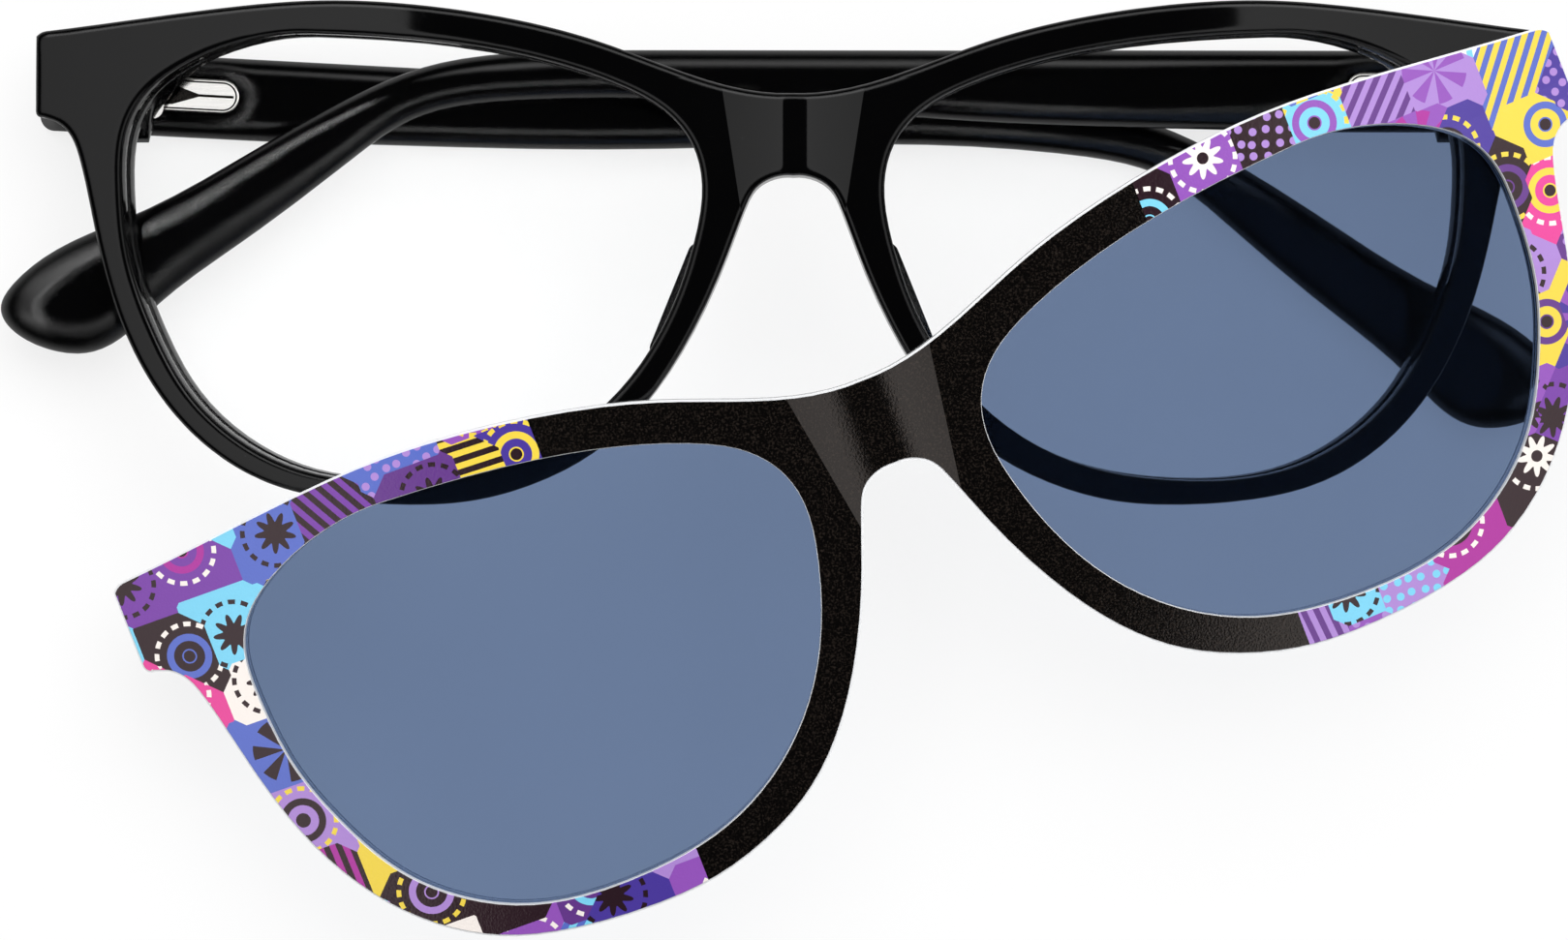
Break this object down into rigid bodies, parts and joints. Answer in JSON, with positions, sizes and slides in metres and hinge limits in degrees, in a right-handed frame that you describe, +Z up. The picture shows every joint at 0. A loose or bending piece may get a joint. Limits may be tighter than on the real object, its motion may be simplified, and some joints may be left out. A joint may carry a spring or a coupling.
{
  "type": "eyeglass frame with magnetic clip-on sun lenses",
  "caption": "Black acetate cat-eye eyeglass frame lying on its folded temples, with a patterned magnetic clip-on sun front swung across it.",
  "frame": {"origin": "on the table, under the middle of the bridge, on the flat outer face of the lower folded temple", "axes": "+X along the folded temples to the end with the upper temple's hinge, +Y towards the brow, +Z up from the table, out of the face of the front"},
  "size_m": [0.1477, 0.0871, 0.0261],
  "materials": {
    "acetate": "polished black",
    "clear_lens": "clear polished",
    "tinted_lens": "smooth blue-grey tint",
    "clip_plate": "satin white",
    "film": "printed pattern, satin",
    "steel": "polished",
    "spring_steel": "drawn wire",
    "magnet": "nickel plated"
  },
  "bodies": {
    "front": {"front": "acetate", "lens_left": "clear_lens", "lens_right": "clear_lens", "nose_pad_left": "acetate", "nose_pad_right": "acetate", "frame_magnets": "magnet", "hinge_leaf_left": "steel", "hinge_leaf_right": "steel", "hinge_screw_left": "steel", "hinge_screw_right": "steel"},
    "slider_left": {"hinge_slider_left": "steel"},
    "slider_right": {"hinge_slider_right": "steel"},
    "temple_left": {"temple_left": "acetate", "spring_case_left": "steel", "hinge_spring_left": "spring_steel"},
    "temple_right": {"temple_right": "acetate", "spring_case_right": "steel", "hinge_spring_right": "spring_steel"},
    "clip": {"clip_frame": "clip_plate", "clip_print": "film", "clip_lens_left": "tinted_lens", "clip_lens_right": "tinted_lens", "clip_magnets": "magnet"}
  },
  "joints": [
    {"name": "temple_left_fold", "type": "hinge", "parent": "front", "child": "slider_left", "pos_m": [-0.06602, 0.0026, 0.00495], "axis": [0.0523, 0.9986, 0], "range_deg": [0, 87]},
    {"name": "temple_right_fold", "type": "hinge", "parent": "front", "child": "slider_right", "pos_m": [0.06602, 0.0026, 0.009], "axis": [0, -1, 0], "range_deg": [0, 91.5]},
    {"name": "temple_left_spring", "type": "slide", "parent": "slider_left", "child": "temple_left", "axis": [0.9986, -0.0523, 0], "range_m": [0, 0.0012], "stiffness_N_per_m": 400, "springref_m": -0.0015, "deforming": ["hinge_spring_left"]},
    {"name": "temple_right_spring", "type": "slide", "parent": "slider_right", "child": "temple_right", "axis": [-1, 0, 0], "range_m": [0, 0.0012], "stiffness_N_per_m": 400, "springref_m": -0.0015, "deforming": ["hinge_spring_right"]},
    {"name": "clip_swing", "type": "hinge", "parent": "front", "child": "clip", "pos_m": [0.07049, 0.0041, 0.01478], "axis": [0.2652, 0.0752, 0.9612], "range_deg": [-22.4, 0]}
  ]
}
